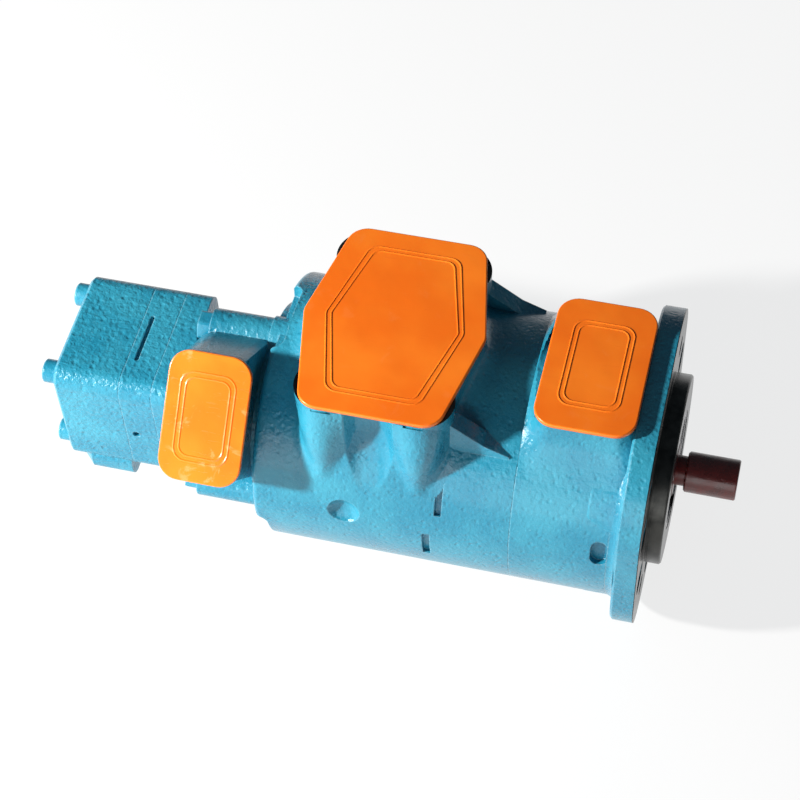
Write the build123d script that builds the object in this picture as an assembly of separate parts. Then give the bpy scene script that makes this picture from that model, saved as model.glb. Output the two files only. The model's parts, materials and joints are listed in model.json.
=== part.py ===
"""Three-stage hydraulic vane pump. Millimetres, +Z up.

Origin: centre of the flange's mounting face, on the shaft axis.
+X runs along the shaft, out of the pump. +Z is the way the inlet and the front outlet face.
"""
import os
from math import cos, pi, radians, sin

from build123d import *

os.makedirs("parts", exist_ok=True)

# ---------------------------------------------------------------- overall layout
FLANGE_THICK = 15.5
FLANGE_HALF = 93.1          # half width of the rounded square flange
FLANGE_CORNER = 61.9
PILOT_R = 63.5
PILOT_HIGH = 11.0
MOUNT_SPACING = 114.5       # four mounting holes on a square
MOUNT_HOLE_R = 7.2
BODY_R = 89.0
X_FRONT_SEAM = -84.0        # front housing to inlet housing
X_REAR_SEAM = -262.0        # inlet housing to rear housing
X_RING_FRONT = -334.2       # rear housing to exposed cam ring
X_RING_REAR = -356.7        # exposed cam ring to end cover
X_BACK = -402.7
END_HALF = 46.9             # half width of the square end stage
END_CORNER = 12.0
PAINT_GAP = 0.02            # clearance left between parts that only touch
RUN_GAP = 0.05              # running clearance, radial and axial

# ---------------------------------------------------------------- ports and their covers
COVER_THICK = 3.0
COVER_RIB = 0.7             # height of the two raised lines on a cover
INLET_X = -177.0
INLET_Z = BODY_R + 13.9     # height of the inlet's machined face
INLET_BORE_R = 38.0
INLET_ROWS = (61.9, 106.4)
INLET_HOLE_R = 7.0
INLET_COVER = (44.5, 59.6, 73.9)   # half length at the ends, half length in the middle, half width
FRONT_OUT_X = -46.6
FRONT_OUT_Z = BODY_R + 6.3
FRONT_OUT_BORE_R = 16.0
FRONT_OUT_ROWS = (30.2, 58.7)
FRONT_OUT_HOLE_R = 5.1
FRONT_OUT_COVER = (32.3, 51.1)
REAR_OUT_X = -281.7
REAR_OUT_Z = 110.7
REAR_OUT_BORE_R = 12.7
REAR_OUT_DEEP = 90.0
BOSS_CORNER = 10.0
REAR_OUT_ROWS = (26.2, 52.4)
REAR_OUT_HOLE_R = 4.3
REAR_OUT_COVER = (27.2, 42.1)
REAR_OUT_TURN = 45.0        # the rear outlet leans this far towards -Y

# ---------------------------------------------------------------- shaft
SPLINE_TEETH = 15
SPLINE_R = 12.5
SPLINE_ROOT_R = 11.0
SPLINE_START_X = 17.0
SHAFT_TIP_X = 49.0
SHAFT_NECK_R = 10.0
BEARING_BORE_R = 17.5
BEARING_OUT_R = 40.0
BEARING_WIDE = 21.0
X_BEARING = -12.5           # inboard side of the ball bearing
BALL_R = 6.8
BALL_COUNT = 8
SEAL_R = 30.0
SEAL_WIDE = 10.0
DRIVE_R = 19.0              # shaft through the two large rotors
REAR_JOURNAL_R = 15.0
END_DRIVE_R = 10.5          # shaft through the small rotor

# ---------------------------------------------------------------- fasteners
FRONT_BOLT_R = 7.0
FRONT_BOLT_CIRCLE_R = BODY_R - 13.0
FRONT_BOLT_TURNS = (70.0, 110.0, 160.0, 200.0, 250.0, 290.0)
FRONT_BOLT_HEAD_R = 10.5
REAR_BOLT_R = 6.0
REAR_BOLT_CIRCLE_R = 61.5
REAR_BOLT_TURNS = (-5.0, 115.0, 235.0)
REAR_BOSS_R = 13.0
REAR_BOSS_X = -303.0
END_BOLT_R = 5.0
END_BOLT_ROW = 33.5         # half spacing of the four end cover bolts
END_BOLT_HEAD_R = 8.0
END_BOLT_HEAD_HIGH = 10.0
BOLT_SLACK = 0.5            # a bolt's hole is this much larger in radius


# ---------------------------------------------------------------- helpers
def disc(x_from, x_to, radius, y=0.0, z=0.0):
    """Round bar along X."""
    plane = Plane.YZ.offset(x_from) * Pos(y, z)
    return extrude(plane * Circle(radius), amount=x_to - x_from)


def ring(x_from, x_to, outer_r, inner_r):
    return disc(x_from, x_to, outer_r) - disc(x_from - 1, x_to + 1, inner_r)


def square_bar(x_from, x_to, half, corner):
    """Rounded square bar along X."""
    outline = RectangleRounded(2 * half, 2 * half, corner)
    return extrude(Plane.YZ.offset(x_from) * outline, amount=x_to - x_from)


def at_turn(radius, turn):
    """(y, z) at this radius, turned from +Z towards -Y."""
    return -radius * sin(radians(turn)), radius * cos(radians(turn))


def turned(shape, turn):
    """Shape turned about the shaft axis, from +Z towards -Y."""
    return Rot(turn, 0, 0) * shape


def row_points(rows):
    half_x, half_y = rows[0] / 2, rows[1] / 2
    return [(-half_x, -half_y), (half_x, -half_y), (half_x, half_y), (-half_x, half_y)]


def drill(x, y, z_mouth, depth, radius):
    """Blind hole along Z, open upwards, with a drill-point bottom."""
    tip = radius * 0.6
    hole = Pos(x, y, z_mouth - depth / 2) * Cylinder(radius, depth)
    point = Pos(x, y, z_mouth - depth - tip / 2) * Cone(0.01, radius, tip)
    return hole + point


def port_holes(x, z_mouth, rows, radius, depth):
    holes = [drill(x + dx, dy, z_mouth, depth, radius) for dx, dy in row_points(rows)]
    return Compound(children=holes)


def socket_bolt(x_seat, x_tip, shank_r, head_r, head_high, facing):
    """Socket head cap screw along X. facing +1 puts the head on the +X side of x_seat."""
    x_top = x_seat + facing * head_high
    head = disc(min(x_seat, x_top), max(x_seat, x_top), head_r)
    head = chamfer(head.edges().filter_by(GeomType.CIRCLE).sort_by(Axis.X)[-1 if facing > 0 else 0], 0.8)
    shank = disc(min(x_seat, x_tip), max(x_seat, x_tip), shank_r)
    hexagon = Plane.YZ.offset(x_top) * RegularPolygon(shank_r * 0.88, 6)
    socket = extrude(hexagon, amount=-facing * head_high * 0.55)
    return head + shank - socket


def moved_round(shape, radius, turns):
    """Copies of a bolt or hole on the X axis, moved out to a circle."""
    spots = [at_turn(radius, turn) for turn in turns]
    return [Pos(0, y, z) * shape for y, z in spots]


def write(name, *solids):
    """One STEP file per piece; several solids in it are a group of like fasteners."""
    shape = solids[0] if len(solids) == 1 else Compound(children=list(solids))
    export_step(shape, "parts/" + name + ".step")


def spline_outline(major_r, root_r, teeth):
    """Straight-sided spline, one tooth centred on +Z."""
    pitch = 2 * pi / teeth
    points = []
    for tooth in range(teeth):
        mid = tooth * pitch
        for share, radius in ((-0.34, root_r), (-0.18, major_r), (0.18, major_r), (0.34, root_r)):
            angle = mid + share * pitch
            points.append((radius * sin(angle), radius * cos(angle)))
    return make_face(Polyline(*points, close=True))


# ---------------------------------------------------------------- vane cartridges
VANE_THICK = 2.0


def cam_bore(x_from, x_to, minor_r, major_r):
    """Oval cam track: two minor arcs up and down, two major arcs fore and aft."""
    points = []
    steps = 48
    for step in range(steps):
        angle = 2 * pi * step / steps
        radius = (minor_r + major_r) / 2 - (major_r - minor_r) / 2 * cos(2 * angle)
        points.append((radius * sin(angle), radius * cos(angle)))
    outline = make_face(Spline(*points, periodic=True))
    return extrude(Plane.YZ.offset(x_from - 1) * outline, amount=x_to - x_from + 2)


def rotor(x_from, x_to, outer_r, bore_r, vane_count, slot_depth):
    """Slotted rotor with a round hole at the foot of every slot."""
    body = ring(x_from, x_to, outer_r, bore_r)
    slot = Box(x_to - x_from + 2, VANE_THICK + 0.06, slot_depth + 1)
    slot = Pos((x_from + x_to) / 2, 0, outer_r - slot_depth / 2 + 0.5) * slot
    foot = disc(x_from - 1, x_to + 1, VANE_THICK * 0.8, 0, outer_r - slot_depth)
    cutter = slot + foot
    turns = [360.0 * (index + 0.5) / vane_count for index in range(vane_count)]
    return body - [turned(cutter, turn) for turn in turns]


def vanes(x_from, x_to, outer_r, vane_count, vane_high):
    """Vanes drawn back into the rotor, as they pass the narrow parts of the cam."""
    blade = Box(x_to - x_from - 2 * RUN_GAP, VANE_THICK, vane_high)
    blade = Pos((x_from + x_to) / 2, 0, outer_r - vane_high / 2 - 0.05) * blade
    turns = [360.0 * (index + 0.5) / vane_count for index in range(vane_count)]
    return [turned(blade, turn) for turn in turns]


def kidney_windows(x_from, x_to, radius, width, span, turns):
    """Curved port windows through a side plate, one at each turn."""
    windows = []
    for turn in turns:
        arc = CenterArc((0, 0), radius, 90 + turn - span / 2, span)
        band = Plane.YZ.offset(x_from - 1) * trace(arc, width)
        windows.append(extrude(band, amount=x_to - x_from + 2))
    return windows


def side_plate(x_from, x_to, outer_r, bore_r, window_r, window_turns):
    """Plate beside a rotor: a clear bore for the shaft and two windows into the cam space."""
    plate = ring(x_from, x_to, outer_r, bore_r)
    return plate - kidney_windows(x_from, x_to, window_r, 5.0, 40.0, window_turns)


FRONT_RING_R = 66.0
FRONT_PUSH_R = 60.0         # the plate that the front stage pushes its oil through
MIDDLE_RING_R = 50.0
MIDDLE_PUSH_R = 44.0

# each stage: x of the ring's two sides, ring radius, rotor radius, cam radii, vane count, slot depth
STAGES = {
    "front": dict(x0=-124.0, x1=X_FRONT_SEAM, ring_r=FRONT_RING_R, rotor_r=44.0, major_r=49.0, count=12,
                  slot=13.0, drive_r=DRIVE_R),
    "middle": dict(x0=X_REAR_SEAM, x1=-230.0, ring_r=MIDDLE_RING_R, rotor_r=33.0, major_r=37.0, count=12,
                   slot=10.0, drive_r=DRIVE_R),
    "rear": dict(x0=X_RING_REAR, x1=X_RING_FRONT, ring_r=None, rotor_r=24.0, major_r=27.6, count=10,
                 slot=8.0, drive_r=END_DRIVE_R),
}

for name, stage in STAGES.items():
    x0, x1 = stage["x0"], stage["x1"]
    rotor_x0, rotor_x1 = x0 + RUN_GAP, x1 - RUN_GAP
    minor_r = stage["rotor_r"] + 0.4
    if name != "rear":
        cam = disc(x0, x1, stage["ring_r"]) - cam_bore(x0, x1, minor_r, stage["major_r"])
        write(name + "_cam_ring", cam)
    wheel = rotor(rotor_x0, rotor_x1, stage["rotor_r"], stage["drive_r"] + PAINT_GAP, stage["count"],
                  stage["slot"])
    write(name + "_rotor", wheel)
    write(name + "_vanes", *vanes(rotor_x0, rotor_x1, stage["rotor_r"], stage["count"], stage["slot"] - 2))

# the two large cartridges are fed from the inlet chamber and push out through the plate beyond the ring
FEED_TURNS = (45.0, 225.0)
PUSH_TURNS = (135.0, 315.0)
FEED_PLATE_THICK = 12.0
FRONT_FEED_X = STAGES["front"]["x0"]
MIDDLE_FEED_X = STAGES["middle"]["x1"]
FRONT_FEED_PLATE = dict(x0=FRONT_FEED_X - FEED_PLATE_THICK, x1=FRONT_FEED_X, outer_r=FRONT_RING_R)
FRONT_PUSH_PLATE = dict(x0=X_FRONT_SEAM, x1=-68.0, outer_r=FRONT_PUSH_R)
MIDDLE_FEED_PLATE = dict(x0=MIDDLE_FEED_X, x1=MIDDLE_FEED_X + FEED_PLATE_THICK, outer_r=MIDDLE_RING_R)
MIDDLE_PUSH_PLATE = dict(x0=-268.5, x1=X_REAR_SEAM, outer_r=MIDDLE_PUSH_R)
REAR_FEED_PLATE = dict(x0=X_RING_FRONT, x1=-324.2, outer_r=36.0)
SHAFT_CLEAR_R = DRIVE_R + 2.0
PLATES = {
    "front_inlet_plate": (FRONT_FEED_PLATE, SHAFT_CLEAR_R, 45.0, FEED_TURNS),
    "front_pressure_plate": (FRONT_PUSH_PLATE, SHAFT_CLEAR_R, 45.0, PUSH_TURNS),
    "middle_inlet_plate": (MIDDLE_FEED_PLATE, SHAFT_CLEAR_R, 34.0, FEED_TURNS),
    "middle_pressure_plate": (MIDDLE_PUSH_PLATE, SHAFT_CLEAR_R, 34.0, PUSH_TURNS),
    "rear_inlet_plate": (REAR_FEED_PLATE, END_DRIVE_R + 2.0, 25.0, FEED_TURNS),
}
for name, (plate, clear_r, window_r, window_turns) in PLATES.items():
    write(name, side_plate(plate["x0"], plate["x1"], plate["outer_r"], clear_r, window_r, window_turns))

# ---------------------------------------------------------------- front housing
MOUNT_R = MOUNT_SPACING / 2 * 2 ** 0.5
MOUNT_TURNS = (45.0, 135.0, 225.0, 315.0)
RELIEF_X = -29.0            # the bolt reliefs reach this far behind the flange
RELIEF_R = 14.0
BEARING_RING_X = X_BEARING + BEARING_WIDE
RETAINER_THICK = 2.0
FRONT_CHAMBER = (FRONT_PUSH_PLATE["x1"], -29.5, 42.0)
FRONT_BOLT_SEAT_X = -15.5
FRONT_BOLT_TIP_X = -112.0
SEAM_SEAL_R = 1.5
FRONT_SEAM_SEAL_AT = FRONT_PUSH_R + 3.0
REAR_SEAM_SEAL_AT = MIDDLE_PUSH_R + 3.2


def outlet_boss(x, half_x, half_y, z_low, z_face):
    """Flat-topped port boss that widens towards its foot."""
    top = Plane.XY.offset(z_face) * Pos(x, 0) * RectangleRounded(2 * half_x, 2 * half_y, BOSS_CORNER)
    return extrude(top, amount=-(z_face - z_low), taper=-6)


def seal_groove(x_face, into, radius):
    """Groove for a seam seal in the face at x_face; into is the way it is cut."""
    depth = 2 * SEAM_SEAL_R
    x_floor = x_face + into * depth
    return ring(min(x_face, x_floor), max(x_face, x_floor), radius + 1.8, radius - 1.8)


front_housing = disc(X_FRONT_SEAM, -FLANGE_THICK, BODY_R)
front_boss = outlet_boss(FRONT_OUT_X, FRONT_OUT_COVER[0] - 1.7, FRONT_OUT_COVER[1] - 1.6, 40.0, FRONT_OUT_Z)
front_housing = front_housing + front_boss
flange = square_bar(-FLANGE_THICK, 0, FLANGE_HALF, FLANGE_CORNER)
flange = chamfer(flange.faces().sort_by(Axis.X)[0].outer_wire().edges(), 1.5)
front_housing = front_housing + flange + disc(-0.5, PILOT_HIGH, PILOT_R)
pilot_rim = [edge for edge in front_housing.edges().filter_by(GeomType.CIRCLE)
             if abs(edge.center().X - PILOT_HIGH) < 0.01 and abs(edge.radius - PILOT_R) < 0.01]
front_housing = chamfer(pilot_rim, 1.0)

# mounting holes, and the reliefs that clear their bolts behind the flange
relief = disc(RELIEF_X, -FLANGE_THICK, RELIEF_R)
relief_mouth = Box(-FLANGE_THICK - RELIEF_X, 2 * RELIEF_R, 30.0)
relief = relief + Pos((RELIEF_X - FLANGE_THICK) / 2, 0, 15.0) * relief_mouth
for turn in MOUNT_TURNS:
    y, z = at_turn(MOUNT_R, turn)
    front_housing = front_housing - turned(Pos(0, 0, MOUNT_R) * relief, turn)
    front_housing = front_housing - disc(-FLANGE_THICK - 1, 1, MOUNT_HOLE_R, y, z)

# small oval pockets in the side of the casting, beside the flange
pocket = Pos(-26.0, 0, BODY_R) * Rot(0, 0, 90) * extrude(SlotOverall(20.0, 11.0), amount=5, both=True)
front_housing = front_housing - turned(pocket, 78.0) - turned(pocket, 282.0)

# bores from the pilot end for bearing, seal and shaft, and from the seam for plate and chamber
front_housing = front_housing - [
    disc(X_BEARING, PILOT_HIGH + 1, BEARING_OUT_R + PAINT_GAP),
    disc(X_BEARING - SEAL_WIDE, X_BEARING + 1, SEAL_R + PAINT_GAP),
    disc(FRONT_CHAMBER[1] - 1, X_BEARING, DRIVE_R + 1.5),
    disc(X_FRONT_SEAM - 1, FRONT_PUSH_PLATE["x1"], FRONT_PUSH_PLATE["outer_r"] + PAINT_GAP),
    disc(FRONT_CHAMBER[0] - 1, FRONT_CHAMBER[1], FRONT_CHAMBER[2]),
    disc(BEARING_RING_X, BEARING_RING_X + RETAINER_THICK, BEARING_OUT_R + 2.0),
    seal_groove(X_FRONT_SEAM, 1, FRONT_SEAM_SEAL_AT),
]
front_housing = front_housing - Pos(FRONT_OUT_X, 0, FRONT_OUT_Z - 35) * Cylinder(FRONT_OUT_BORE_R, 70)
front_housing = front_housing - port_holes(FRONT_OUT_X, FRONT_OUT_Z, FRONT_OUT_ROWS, FRONT_OUT_HOLE_R, 24.0)

# screws that hold the front housing to the inlet housing, heads sunk in the mounting face
screw_hole = disc(X_FRONT_SEAM - 1, 1, FRONT_BOLT_R + BOLT_SLACK)
screw_hole = screw_hole + disc(FRONT_BOLT_SEAT_X, 1, FRONT_BOLT_HEAD_R + 0.8)
front_housing = front_housing - moved_round(screw_hole, FRONT_BOLT_CIRCLE_R, FRONT_BOLT_TURNS)
write("front_housing", front_housing)

screw = socket_bolt(FRONT_BOLT_SEAT_X, FRONT_BOLT_TIP_X, FRONT_BOLT_R, FRONT_BOLT_HEAD_R, 14.0, 1)
write("front_housing_screws", *moved_round(screw, FRONT_BOLT_CIRCLE_R, FRONT_BOLT_TURNS))
seam_seal = Pos(X_FRONT_SEAM + SEAM_SEAL_R, 0, 0) * Rot(0, 90, 0) * Torus(FRONT_SEAM_SEAL_AT, SEAM_SEAL_R)
write("front_seam_seal", seam_seal)

# ---------------------------------------------------------------- inlet housing
X_BODY_REAR = -255.0
REAR_FLANGE_R = 67.0
NECK_LOBE_R = 20.5
NECK_INSET = 1.6            # the cover overhangs the port face by this much
INLET_CHAMBER_R = 60.0
GUSSET_Y = (48.0, 60.0)

inlet_housing = disc(X_BODY_REAR, X_FRONT_SEAM, BODY_R)
rear_edge = inlet_housing.edges().filter_by(GeomType.CIRCLE).sort_by(Axis.X)[0]
inlet_housing = fillet(rear_edge, 4.0)
step = Pos(X_BODY_REAR, 0, BODY_R + 3) * extrude(RectangleRounded(16.0, 56.0, 7.9), amount=18.0, both=True)
inlet_housing = inlet_housing - [turned(step, turn) for turn in REAR_BOLT_TURNS]
inlet_housing = inlet_housing + disc(X_REAR_SEAM, X_BODY_REAR + 1, REAR_FLANGE_R)
for y, z in [at_turn(REAR_BOLT_CIRCLE_R, turn) for turn in REAR_BOLT_TURNS]:
    inlet_housing = inlet_housing + disc(X_REAR_SEAM, X_BODY_REAR + 9, REAR_BOSS_R + 1.5, y, z)


def hexagon_outline(sizes, inset, corner):
    """Six-sided port outline, longest across Y, with a bulge fore and aft."""
    half_end, half_mid, half_wide = [size - inset for size in sizes]
    points = [(half_end, half_wide), (half_mid, 0), (half_end, -half_wide),
              (-half_end, -half_wide), (-half_mid, 0), (-half_end, half_wide)]
    face = make_face(Polyline(*points, close=True))
    return fillet(face.vertices(), corner)


neck_plan = hexagon_outline(INLET_COVER, NECK_INSET, 15.0)
neck_plan = neck_plan - [Pos(0, side * (INLET_COVER[2] + 4)) * Circle(17.0) for side in (-1, 1)]
neck = extrude(Plane.XY.offset(INLET_Z) * Pos(INLET_X, 0) * neck_plan, amount=-(INLET_Z - 20.0))
inlet_housing = inlet_housing + neck
for dx, dy in row_points(INLET_ROWS):
    lobe = Pos(INLET_X + dx, dy, INLET_Z / 2) * Cone(NECK_LOBE_R - 3, NECK_LOBE_R, INLET_Z)
    inlet_housing = inlet_housing + lobe

# sloping gussets from the neck to the front seam, one each side of the middle
slope = make_face(Polyline((-135.0, 93.0), (-127.0, 91.0), (-106.0, 75.0), (-90.0, 68.0), (-90.0, 50.0),
                           (-135.0, 50.0), close=True))
for side in (-1, 1):
    y_from = -GUSSET_Y[1] if side < 0 else GUSSET_Y[0]
    web = extrude(Plane.XZ.offset(-y_from) * slope, amount=-(GUSSET_Y[1] - GUSSET_Y[0]))
    inlet_housing = inlet_housing + web

inlet_housing = inlet_housing - [
    disc(FRONT_FEED_PLATE["x0"], X_FRONT_SEAM + 1, STAGES["front"]["ring_r"] + PAINT_GAP),
    disc(MIDDLE_FEED_PLATE["x1"] - 1, FRONT_FEED_PLATE["x0"] + 1, INLET_CHAMBER_R),
    disc(X_REAR_SEAM - 1, MIDDLE_FEED_PLATE["x1"], STAGES["middle"]["ring_r"] + PAINT_GAP),
]
inlet_housing = inlet_housing - Pos(INLET_X, 0, INLET_Z - 40) * Cylinder(INLET_BORE_R, 80)
inlet_housing = inlet_housing - port_holes(INLET_X, INLET_Z, INLET_ROWS, INLET_HOLE_R, 26.0)
screw_tap = disc(FRONT_BOLT_TIP_X - 4, X_FRONT_SEAM + 1, FRONT_BOLT_R + PAINT_GAP)
inlet_housing = inlet_housing - moved_round(screw_tap, FRONT_BOLT_CIRCLE_R, FRONT_BOLT_TURNS)

# hollows left in the casting's sides: a scallop near the rear and two short slits
scallop = Pos(-193.0, 0, BODY_R + 9.0) * Sphere(14.0)
slit_high = Pos(-131.0, 0, BODY_R) * Box(4.5, 27.0, 8.0)
slit_low = Pos(-138.5, 0, BODY_R) * Box(5.0, 25.0, 8.0)
for hollow, turn in ((scallop, 81.0), (slit_high, 65.0), (slit_low, 94.0)):
    inlet_housing = inlet_housing - turned(hollow, turn) - turned(hollow, 360.0 - turn)

# ---------------------------------------------------------------- rear housing
REAR_CORE_R = 53.0
REAR_NECK_R = 45.0
REAR_BOLT_TIP_X = -243.0
REAR_BOLT_HEAD_HIGH = 9.0
BUSHING_R = 20.0
BUSHING = (-316.0, -296.0)
REAR_CHAMBER_R = 36.0
X_SQUARE_END = -316.0       # the square part of the rear housing ends here

rear_housing = disc(REAR_BOSS_X, X_REAR_SEAM, REAR_CORE_R)
rear_housing = rear_housing + disc(X_SQUARE_END - 5, REAR_BOSS_X + 1, REAR_NECK_R)
rear_housing = rear_housing + square_bar(X_RING_FRONT, X_SQUARE_END, END_HALF, END_CORNER)
boss_long = X_REAR_SEAM - REAR_BOSS_X
boss_web = Box(boss_long, 2 * REAR_BOSS_R - 4.0, REAR_BOLT_CIRCLE_R)
boss_web = Pos(REAR_BOSS_X + boss_long / 2, 0, REAR_BOLT_CIRCLE_R / 2) * boss_web
for turn in REAR_BOLT_TURNS:
    y, z = at_turn(REAR_BOLT_CIRCLE_R, turn)
    rear_housing = rear_housing + disc(REAR_BOSS_X, X_REAR_SEAM, REAR_BOSS_R, y, z) + turned(boss_web, turn)
rear_boss = outlet_boss(REAR_OUT_X, REAR_OUT_COVER[0] - 3.5, REAR_OUT_COVER[1] - 1.6, 30.0, REAR_OUT_Z)
past_seam = Pos(X_REAR_SEAM + BODY_R, 0, BODY_R) * Box(2 * BODY_R, 2 * BODY_R, 2 * BODY_R)
rear_housing = rear_housing + turned(rear_boss - past_seam, REAR_OUT_TURN)

rear_outlet_cut = Cylinder(REAR_OUT_BORE_R, REAR_OUT_DEEP)
rear_outlet_cut = Pos(REAR_OUT_X, 0, REAR_OUT_Z - REAR_OUT_DEEP / 2) * rear_outlet_cut
rear_outlet_cut = rear_outlet_cut + port_holes(REAR_OUT_X, REAR_OUT_Z, REAR_OUT_ROWS, REAR_OUT_HOLE_R, 22.0)
rear_housing = rear_housing - [
    turned(rear_outlet_cut, REAR_OUT_TURN),
    disc(MIDDLE_PUSH_PLATE["x0"], X_REAR_SEAM + 1, MIDDLE_PUSH_PLATE["outer_r"] + PAINT_GAP),
    disc(BUSHING[1], MIDDLE_PUSH_PLATE["x0"] + 1, REAR_CHAMBER_R),
    disc(BUSHING[0], BUSHING[1] + 1, BUSHING_R + PAINT_GAP),
    disc(REAR_FEED_PLATE["x1"] - 1, BUSHING[0] + 1, REAR_JOURNAL_R + 1.0),
    disc(X_RING_FRONT - 1, REAR_FEED_PLATE["x1"], REAR_FEED_PLATE["outer_r"] + PAINT_GAP),
    seal_groove(X_REAR_SEAM, -1, REAR_SEAM_SEAL_AT),
]
through = disc(REAR_BOSS_X - 1, X_REAR_SEAM + 1, REAR_BOLT_R + BOLT_SLACK)
rear_housing = rear_housing - moved_round(through, REAR_BOLT_CIRCLE_R, REAR_BOLT_TURNS)
head_room = disc(X_SQUARE_END, REAR_BOSS_X, REAR_BOSS_R - 1.0)
rear_housing = rear_housing - moved_round(head_room, REAR_BOLT_CIRCLE_R, REAR_BOLT_TURNS)
rear_tap = disc(X_REAR_SEAM - 1, REAR_BOLT_TIP_X + 4, REAR_BOLT_R + PAINT_GAP)
inlet_housing = inlet_housing - moved_round(rear_tap, REAR_BOLT_CIRCLE_R, REAR_BOLT_TURNS)
write("inlet_housing", inlet_housing)

END_BOLT_SPOTS = [(-END_BOLT_ROW, -END_BOLT_ROW), (END_BOLT_ROW, -END_BOLT_ROW),
                  (END_BOLT_ROW, END_BOLT_ROW), (-END_BOLT_ROW, END_BOLT_ROW)]
END_BOLT_TIP_X = -319.0
for y, z in END_BOLT_SPOTS:
    rear_housing = rear_housing - disc(X_RING_FRONT - 1, END_BOLT_TIP_X + 1, END_BOLT_R + PAINT_GAP, y, z)
write("rear_housing", rear_housing)

head = extrude(Plane.YZ.offset(REAR_BOSS_X) * RegularPolygon(10.4, 6), amount=-REAR_BOLT_HEAD_HIGH)
head = head & disc(REAR_BOSS_X - REAR_BOLT_HEAD_HIGH, REAR_BOSS_X, 9.9)
hex_bolt = head + disc(REAR_BOSS_X - 1, REAR_BOLT_TIP_X, REAR_BOLT_R)
write("rear_housing_bolts", *moved_round(hex_bolt, REAR_BOLT_CIRCLE_R, REAR_BOLT_TURNS))
seam_seal = Pos(X_REAR_SEAM - SEAM_SEAL_R, 0, 0) * Rot(0, 90, 0) * Torus(REAR_SEAM_SEAL_AT, SEAM_SEAL_R)
write("rear_seam_seal", seam_seal)

bushing = ring(BUSHING[0], BUSHING[1], BUSHING_R, REAR_JOURNAL_R + RUN_GAP)
write("rear_bushing", bushing)

# ---------------------------------------------------------------- end stage
END_BOSS_X = (-396.0, -358.5)
END_PLUG_R = 9.0
END_PLUG_X = -370.0
END_BOSS_HIGH = 12.0
END_PORT_Z = -END_HALF - END_BOSS_HIGH
END_CHAMBER = (-374.0, X_RING_REAR, 30.0)
END_JOURNAL_R = 8.0
END_BUSHING = (-392.0, -374.0)

rear = STAGES["rear"]
rear_cam_ring = square_bar(X_RING_REAR, X_RING_FRONT, END_HALF, END_CORNER)
rear_cam_ring = rear_cam_ring - cam_bore(X_RING_REAR, X_RING_FRONT, rear["rotor_r"] + 0.4, rear["major_r"])
# a cast slot across the top and a short cross drilling low on the side
slot = extrude(SlotOverall(38.0, 2.6), amount=3, both=True)
slot = Pos(X_RING_REAR + 6.0, -3.0, END_HALF) * Rot(0, 0, 90) * slot
cross_drill = Pos(X_RING_REAR + 7.0, -END_HALF, -4.0) * Rot(90, 0, 0) * Cylinder(2.6, 16.0)
rear_cam_ring = rear_cam_ring - slot - cross_drill

end_cover = square_bar(X_BACK, X_RING_REAR, END_HALF, END_CORNER)
end_cover = chamfer(end_cover.faces().sort_by(Axis.X)[0].outer_wire().edges(), 2.0)
# the port boss of the small stage hangs from the underside
end_boss = Box(END_BOSS_X[1] - END_BOSS_X[0], 2 * END_HALF, 2 * END_BOSS_HIGH)
end_boss = Pos((END_BOSS_X[0] + END_BOSS_X[1]) / 2, 0, -END_HALF) * end_boss
end_boss = fillet(end_boss.edges().filter_by(Axis.X), 9.0)
end_boss = chamfer(end_boss.faces().sort_by(Axis.X)[0].edges().sort_by(Axis.Z)[0], 8.0)
end_cover = end_cover + end_boss
end_cover = end_cover - [
    disc(END_CHAMBER[0], END_CHAMBER[1] + 1, END_CHAMBER[2] - 3),
    disc(END_BUSHING[0], END_BUSHING[1] + 1, END_JOURNAL_R + 4.0 + PAINT_GAP),
]
plug_hole = Pos(END_PLUG_X, 0, END_PORT_Z + 9) * Cylinder(END_PLUG_R + PAINT_GAP, 18)
plug_hole = plug_hole + Pos(END_PLUG_X, 0, END_PORT_Z + 20) * Cylinder(5.0, 40)
end_cover = end_cover - plug_hole
end_hole = disc(X_BACK - 1, X_RING_FRONT + 1, END_BOLT_R + BOLT_SLACK)
for y, z in END_BOLT_SPOTS:
    end_cover = end_cover - Pos(0, y, z) * end_hole
    rear_cam_ring = rear_cam_ring - Pos(0, y, z) * end_hole
write("rear_cam_ring", rear_cam_ring)
write("end_cover", end_cover)
end_bolt = socket_bolt(X_BACK, END_BOLT_TIP_X, END_BOLT_R, END_BOLT_HEAD_R, END_BOLT_HEAD_HIGH, -1)
write("end_cover_bolts", *[Pos(0, y, z) * end_bolt for y, z in END_BOLT_SPOTS])
end_bushing = ring(END_BUSHING[0], END_BUSHING[1], END_JOURNAL_R + 4.0, END_JOURNAL_R + RUN_GAP)
write("end_bushing", end_bushing)
plug = Pos(END_PLUG_X, 0, END_PORT_Z + 7) * Cylinder(END_PLUG_R, 14)
plug_head = Pos(END_PLUG_X, 0, END_PORT_Z - 2.5) * Cylinder(END_PLUG_R + 3.5, 5)
plug_key = Pos(END_PLUG_X, 0, END_PORT_Z - 5) * extrude(RegularPolygon(5.0, 6), amount=7)
write("end_outlet_plug", plug + plug_head - plug_key)

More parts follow.
